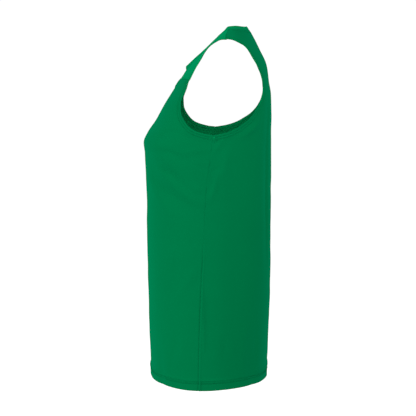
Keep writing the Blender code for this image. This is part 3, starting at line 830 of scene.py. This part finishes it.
def cut_of(base):
    """Flat width and length of the cloth on a grid, the length over its middle two thirds, and its area."""
    across = gaps(base, axis=1).sum(axis=1).max()
    lengths = gaps(base).sum(axis=0)
    down = lengths[len(lengths) // 6:-(len(lengths) // 6)].max()
    one, other = base[1:, 1:] - base[:-1, :-1], base[1:, :-1] - base[:-1, 1:]
    area = np.linalg.norm(np.cross(one, other), axis=-1).sum() / 2
    return (float(across), float(down)), float(area)


def panel_levels(height_above, pitch):
    side_length = HEM_DROP - UNDERARM_DROP
    rows_below = int((side_length - HEM_MARKS[-1]) / pitch)
    rows_above = int((height_above - TOP_MARKS[0]) / pitch)
    low, high = HEM_MARKS / side_length, 2 - TOP_MARKS / height_above
    return np.concatenate((low[:-1], np.linspace(low[-1], 1, rows_below)[:-1],
                           np.linspace(1, high[0], rows_above)[:-1], high))


def yoke_grid():
    """Points of the whole yoke: rows along its length, columns from the neck seam outwards."""
    rows = []
    for t in YOKE_ROWS:
        inner_point = NECK_FRONT(t)
        outer_point, normal = yoke_outer(t)
        across = outer_point - inner_point
        length = np.linalg.norm(across)
        marks = np.minimum(YOKE_MARKS / length, YOKE_MARKS_SHARE * YOKE_MARKS / YOKE_MARKS[-1])
        between = np.linspace(marks[-1], 1 - marks[-1], YOKE_COLUMNS)[1:-1]
        shares = np.concatenate((marks, between, 1 - marks[::-1]))[:, None]
        bulge = normal * np.dot(across, normal)
        rows.append(inner_point + across * shares + bulge * shares * shares * (1 - shares))
    left = np.array(rows)
    return np.concatenate((left, (left[:-1] * np.array((-1, 1, 1)))[::-1]))


def build_yoke(materials):
    base = yoke_grid()[::-1]
    normal = unit(np.cross(np.gradient(base, axis=1), np.gradient(base, axis=0)))
    sewing, thick = sewing_height(base, "front_yoke")
    outer = settled(base + normal * sewing[..., None])
    piece = cloth_mesh("front_yoke_cloth", outer, thick, base[..., (0, 2)], materials)
    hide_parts("front_yoke")
    strap_length = float(run_of(STRAP_EDGE(FINE))[-1])
    return piece, outer, ((2 * float(base[..., 0].max()), strap_length), cut_of(base)[1])


def neck_rings():
    """Neck seam at even steps, the ways the band rises from it and faces, and the steps' runs."""
    seam = LINES["neck"]
    run = run_of(seam)
    at = np.linspace(0, run[-1], BAND_STATIONS + 1)[:-1]
    points = sampled(at, run, seam)
    for _ in range(2):
        beside_them = np.roll(points, 1, axis=0) + np.roll(points, -1, axis=0)
        points = points * (1 - 2 * BAND_SMOOTHING) + beside_them * BAND_SMOOTHING
    inwards = unit(np.stack((-points[:, 0], NECK_CENTRE_Y - points[:, 1], np.zeros(len(at))), axis=-1))
    tilt_at = curve(*zip(*NECKBAND_TILT))
    bearing = np.degrees(np.arctan2(np.abs(points[:, 0]), NECK_CENTRE_Y - points[:, 1]))
    tilt = np.radians(tilt_at(bearing))[:, None]
    upright = np.array((0, 0, 1))
    rise = inwards * np.cos(tilt) + upright * np.sin(tilt)
    face = upright * np.cos(tilt) - inwards * np.sin(tilt)
    return points, rise, face, at


def turn_out(mesh):
    """Turns every face outwards."""
    bm = bmesh.new()
    bm.from_mesh(mesh)
    bmesh.ops.recalc_face_normals(bm, faces=bm.faces)
    bm.to_mesh(mesh)
    bm.free()


def build_neckband(material):
    """A strip of the same knit folded lengthwise over the neck edge, open at its lower side."""
    points, rise, face, at = neck_rings()
    turn = np.linspace(BAND_OPENING, 2 * math.pi - BAND_OPENING, BAND_SIDES)
    around = np.concatenate((turn, turn[::-1]))
    half = NECKBAND_HEIGHT / 2 + BAND_SUNK
    rings = []
    for k, angle in enumerate(around):
        inset = 0 if k < len(turn) else BAND_CLOTH
        up = -(half - inset) * math.cos(angle)
        out = (BAND_SWELL - inset) * math.copysign(abs(math.sin(angle)) ** BAND_FLATNESS, math.sin(angle))
        wave = ripple(at, *BAND_RIPPLE) * max(0.0, math.sin(angle))
        aside = out - BAND_BEHIND + wave[:, None]
        rings.append(settled(points + rise * (half - BAND_SUNK + up) + face * aside))
    grid = np.array(rings).transpose(1, 0, 2)
    count, ring = grid.shape[:2]
    index = grid_index(grid)
    ahead = np.roll(index, -1, axis=0)
    faces = np.stack((index, ahead, np.roll(ahead, -1, axis=1), np.roll(index, -1, axis=1)), axis=-1)
    mesh = new_mesh("neckband_cloth", grid.reshape(-1, 3), faces.reshape(-1, 4).tolist())
    layer = mesh.uv_layers.new(name="flat")
    u = np.repeat(at, ring).reshape(count, ring)
    v = np.tile(around * half / math.pi, (count, 1))
    step_u = at[1] - at[0]
    next_v = np.roll(v, -1, axis=1)
    corner_u = np.stack((u, u + step_u, u + step_u, u), axis=-1)
    corner_v = np.stack((v, v, next_v, next_v), axis=-1)
    layer.data.foreach_set("uv", np.stack((corner_u, corner_v), axis=-1).reshape(-1))
    turn_out(mesh)
    piece = finish_piece("neckband_cloth", mesh, material)
    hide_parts("neckband")
    girth = np.linalg.norm(grid - np.roll(grid, -1, axis=1), axis=-1).sum(axis=1).mean() / 2
    length = np.linalg.norm(points - np.roll(points, -1, axis=0), axis=-1).sum()
    return piece, (float(girth), float(length))


# ---- stitches and seam allowances

def surface_tree(grids):
    """Search tree of the panels' outer surfaces, and where the faces of each panel start in it."""
    verts, faces, starts, start = [], [], [0], 0
    for grid in grids:
        index = grid_index(grid) + start
        faces.append(grid_faces(index))
        verts.append(grid.reshape(-1, 3))
        start += index.size
        starts.append(starts[-1] + len(faces[-1]))
    return BVHTree.FromPolygons(np.concatenate(verts).tolist(), np.concatenate(faces).tolist()), starts


def beside(tree, line, distance, hand):
    """Points and normals of the cloth beside an edge line, to the left (+1) or right (-1) of its run.

    Each is reached in short paces over the cloth, because the cloth is rounded at its very edge.
    """
    coarse = settled(line[::3])
    ahead = unit(np.gradient(coarse, axis=0))
    paces = math.ceil(distance / PACE)
    points, normals = [], []
    for p, direction in zip(coarse, ahead):
        spot, normal, _, _ = tree.find_nearest(p)
        for _ in range(paces):
            aside = unit(np.cross(np.array(normal), direction)) * hand
            spot, normal, _, _ = tree.find_nearest(np.array(spot) + aside * (distance / paces))
        points.append(spot)
        normals.append(normal)
    return np.array(points), np.array(normals)


# Sections of a stitch: place as a share of its length, radius and lift as shares of its radius
STITCH_PROFILE = (
    (-0.5, 0.35, -0.9), (-0.32, 0.9, 0.1), (0.0, 1.0, 0.45), (0.32, 0.9, 0.1), (0.5, 0.35, -0.9),
)
STITCH_SIDES = 6
STITCH_SIGHT = 0.0005  # how far ahead a stitch looks for its row's run


def one_stitch(middle, ahead, normal):
    """Points of a short thread that dips into the cloth at both ends."""
    aside = unit(np.cross(normal, ahead))
    turn = np.arange(STITCH_SIDES) * 2 * math.pi / STITCH_SIDES
    ring = np.cos(turn)[:, None] * aside + np.sin(turn)[:, None] * normal
    return np.concatenate([
        middle + ahead * STITCH_LENGTH * place + normal * STITCH_RADIUS * lift + ring * STITCH_RADIUS * width
        for place, width, lift in STITCH_PROFILE])


def stitch_faces(start):
    n = STITCH_SIDES
    last = start + n * (len(STITCH_PROFILE) - 1)
    faces = []
    for ring in range(start, last, n):
        for k in range(n):
            beyond = (k + 1) % n
            faces.append((ring + k, ring + beyond, ring + n + beyond, ring + n + k))
    faces.append(tuple(start + k for k in reversed(range(n))))
    faces.append(tuple(last + k for k in range(n)))
    return faces


def stitch_rows(tree, starts, rows):
    """Stitches along every row, sorted by the panel that they lie on."""
    found = [[] for _ in starts[1:]]
    for line, distance, hand in rows:
        points, normals = beside(tree, LINES[line], distance, hand)
        run = run_of(points)
        for middle in np.arange(STITCH_PITCH, run[-1] - STITCH_PITCH, STITCH_PITCH):
            place = sampled(middle, run, points)
            ahead = unit(sampled(middle + STITCH_SIGHT, run, points) - place)
            face = tree.find_nearest(place)[2]
            panel = int(np.searchsorted(starts, face, side="right")) - 1
            found[panel].append(one_stitch(place, ahead, unit(sampled(middle, run, normals))))
    return found


def build_stitches(name, stitches, material):
    size = len(stitches[0])
    faces = [face for k in range(len(stitches)) for face in stitch_faces(k * size)]
    mesh = new_mesh(name, np.concatenate(stitches), faces)
    piece = finish_piece(name, mesh, material)
    return piece


# Seams whose allowances show on the wrong side, and the side of the seam on which they lie
ALLOWANCES = (
    (("side", "left"), -1), (("side", "right"), 1),
    (("shoulder", "left"), 1), (("shoulder", "right"), -1), ("yoke", -1),
)
# Across an allowance: distance from the seam, depth of its hidden side and of its shown one
ALLOWANCE_SHAPE = ((0.0, 0.0005, 0.0021), (0.0035, 0.0005, 0.0022), (0.007, 0.0005, 0.0017))
ALLOWANCE_ENDS = 3  # points left out at the ends of a seam


def build_allowances(tree, material):
    """The edges of the seams: both layers trimmed, overlocked together and lying flat on the wrong side."""
    verts, faces = [], []
    for line, hand in ALLOWANCES:
        outer, inner = [], []
        for distance, shallow, deep in ALLOWANCE_SHAPE:
            points, normals = beside(tree, LINES[line], distance, hand)
            outer.append(points - normals * shallow)
            inner.append(points - normals * deep)
        rings = np.stack(outer + inner[::-1], axis=1)[ALLOWANCE_ENDS:-ALLOWANCE_ENDS]
        index = grid_index(rings) + sum(len(v) for v in verts)
        turned = np.roll(index, -1, axis=1)
        quads = np.stack((index[:-1], index[1:], turned[1:], turned[:-1]), axis=-1).reshape(-1, 4)
        faces += quads.tolist() + [index[0].tolist(), index[-1, ::-1].tolist()]
        verts.append(rings.reshape(-1, 3))
    mesh = new_mesh("seam_allowances", np.concatenate(verts), faces)
    turn_out(mesh)
    piece = finish_piece("seam_allowances", mesh, material)
    return piece


# ---- materials

def node(tree, kind, **settings):
    """A shader node with its settings, and with the values of its sockets as in_name or in_number."""
    made = tree.nodes.new("ShaderNode" + kind)
    for key, value in settings.items():
        if not key.startswith("in_"):
            setattr(made, key, value)
    for key, value in settings.items():
        if key.startswith("in_"):
            socket = key[3:]
            made.inputs[int(socket) if socket.isdigit() else socket].default_value = value
    return made


def link(tree, *links):
    """Links: node, its output, next node, its input."""
    for source, output, target, socket in links:
        tree.links.new(source.outputs[output], target.inputs[socket])


def matt_material(name, **values):
    """A material without gloss, its node tree, and its shader with some values."""
    material = bpy.data.materials.new(name)
    material.use_nodes = True
    shader = material.node_tree.nodes["Principled BSDF"]
    shader.inputs["Specular IOR Level"].default_value = 0.0
    for key, value in values.items():
        shader.inputs[key.replace("_", " ")].default_value = value
    return material, material.node_tree, shader


def knit_material(name, painted_light_gain=1.0):
    """Fine jersey: columns of little loops, a deep green with a faint sheen. Its green is scaled up by the
    given factor to paint in light where parts are lit or glow.
    """
    material, tree, shader = matt_material(
        name, Roughness=0.62, Sheen_Weight=SHEEN, Sheen_Roughness=0.45, Sheen_Tint=SHEEN_TINT)
    uv = node(tree, "UVMap", uv_map="flat")
    coords = node(tree, "TexCoord")
    wales = node(tree, "TexWave", bands_direction="X", in_Scale=WAVE_SCALE / WALE)
    courses = node(tree, "TexWave", bands_direction="Y", in_Scale=WAVE_SCALE / COURSE)
    loops = node(tree, "Math", operation="MULTIPLY")
    cloud = node(tree, "TexNoise", in_Scale=9.0, in_Detail=3.0, in_Roughness=0.5)
    grain = node(tree, "TexNoise", in_Scale=700.0, in_Detail=2.0)
    link(tree, (uv, "UV", wales, "Vector"), (uv, "UV", courses, "Vector"),
         (wales, "Fac", loops, 0), (courses, "Fac", loops, 1),
         (coords, "Object", cloud, "Vector"), (coords, "Object", grain, "Vector"))
    shade = node(tree, "Math", operation="MULTIPLY_ADD", in_1=0.3)
    # colours scaled up by the factor are painted light
    deep, light = (tuple(painted_light_gain * c for c in colour[:3]) + (1.0,) for colour in (GREEN_DEEP, GREEN))
    mix = node(tree, "Mix", data_type="RGBA", in_A=deep, in_B=light)
    link(tree, (loops, 0, shade, 0), (cloud, "Fac", shade, 2),
         (shade, 0, mix, "Factor"), (mix, "Result", shader, "Base Color"))
    height = node(tree, "Math", operation="MULTIPLY_ADD", in_1=0.3)
    bump = node(tree, "Bump", in_Strength=0.12, in_Distance=0.0001)
    link(tree, (grain, "Fac", height, 0), (loops, 0, height, 2),
         (height, 0, bump, "Height"), (bump, "Normal", shader, "Normal"))
    return material


def thread_material():
    material, tree, shader = matt_material("sewing_thread", Roughness=0.5)
    coords = node(tree, "TexCoord")
    noise = node(tree, "TexNoise", in_Scale=900.0)
    mix = node(tree, "Mix", data_type="RGBA", in_A=THREAD_DEEP, in_B=THREAD)
    link(tree, (coords, "Object", noise, "Vector"), (noise, "Fac", mix, "Factor"),
         (mix, "Result", shader, "Base Color"))
    return material


# ---- stage

def area_light(name, place, size, power, lit):
    light = bpy.data.lights.new(name, "AREA")
    light.shape = "DISK"
    light.size = size
    light.energy = power
    lamp = new_object(name, light)
    lamp.location = place
    lamp.rotation_euler = (Vector(lit) - Vector(place)).to_track_quat("-Z", "Y").to_euler()


def build_stage():
    mesh = bpy.data.meshes.new("floor")
    bm = bmesh.new()
    bmesh.ops.create_circle(bm, cap_ends=True, radius=60.0, segments=64)
    bm.to_mesh(mesh)
    bm.free()
    mesh.materials.append(matt_material("floor_white", Roughness=0.9, Base_Color=FLOOR_WHITE)[0])
    floor = new_object("floor", mesh)
    floor.location = (0, 0, FLOOR_Z)
    world = bpy.data.worlds.new("studio")
    scene.world = world
    world.use_nodes = True
    background = world.node_tree.nodes["Background"]
    background.inputs["Color"].default_value = (1, 1, 1, 1)
    background.inputs["Strength"].default_value = WORLD_STRENGTH
    for lamp in LAMPS:
        area_light(*lamp)


def build_camera():
    camera = new_object("camera", bpy.data.cameras.new("camera"))
    camera.data.sensor_width = 36.0
    camera.data.lens = CAMERA_LENS
    camera.data.clip_end = 200.0
    camera.location = (CAMERA_DISTANCE * math.cos(CAMERA_TURN),
                       CAMERA_CENTRE_Y + CAMERA_DISTANCE * math.sin(CAMERA_TURN), CAMERA_Z)
    look = Vector((-math.cos(CAMERA_TURN) * math.cos(CAMERA_PITCH),
                   -math.sin(CAMERA_TURN) * math.cos(CAMERA_PITCH), -math.sin(CAMERA_PITCH)))
    camera.rotation_euler = look.to_track_quat("-Z", "Y").to_euler()
    scene.camera = camera


# ---- the garment

def main():
    pitch = ROW_PITCH
    columns = COLUMNS
    panel_knit = knit_material("panel_knit")
    # the yoke's lighter green is a painted highlight
    yoke_knit_painted_highlight = knit_material("yoke_knit_painted_highlight", YOKE_PAINTED_HIGHLIGHT)
    # the neckband's lighter green is a painted highlight
    band_knit = knit_material("neckband_knit_painted_highlight", BAND_PAINTED_HIGHLIGHT)
    # the inside's lighter green is painted light, standing in for light through the cloth
    wrong_side = knit_material("wrong_side_knit_painted_light", WRONG_SIDE_PAINTED_LIGHT)
    thread = thread_material()

    half, marks = panel_pairs(0.0, FRONT_EDGE, lambda share: yoke_seam_drop(YOKE_TIP_ANGLE * share),
                              panel_levels(FRONT_RISE, pitch), columns, EDGE_BAND)
    front = build_panel("front_panel", half, marks, (panel_knit, wrong_side))
    half, marks = panel_pairs(math.pi, BACK_EDGE, back_top_drop,
                              panel_levels(BACK_RISE, pitch), columns, EDGE_BAND, NECK_SHARE)
    back = build_panel("back_panel", half, marks, (panel_knit, wrong_side))
    yoke = build_yoke((yoke_knit_painted_highlight, wrong_side))
    neckband, band_cut = build_neckband(band_knit)

    panels = {"front_panel": front, "back_panel": back, "front_yoke": yoke}
    tree, starts = surface_tree([grid for _, grid, _ in panels.values()])
    rows = [(("armhole", hand), distance, 1 if hand == "left" else -1)
            for hand in HANDS for distance in ARMHOLE_ROWS]
    rows += [("neck", NECK_ROW, 1)]
    rows += [("hem", distance, 1) for distance in BOTTOM_ROWS]
    extras = {"front_panel": [], "back_panel": [build_allowances(tree, wrong_side)], "front_yoke": []}
    for name, found in zip(panels, stitch_rows(tree, starts, rows)):
        extras[name].append(build_stitches(name + "_stitches", found, thread))

    build_stage()
    build_camera()


main()
scene.view_settings.view_transform = "Standard"
scene.view_settings.look = "None"
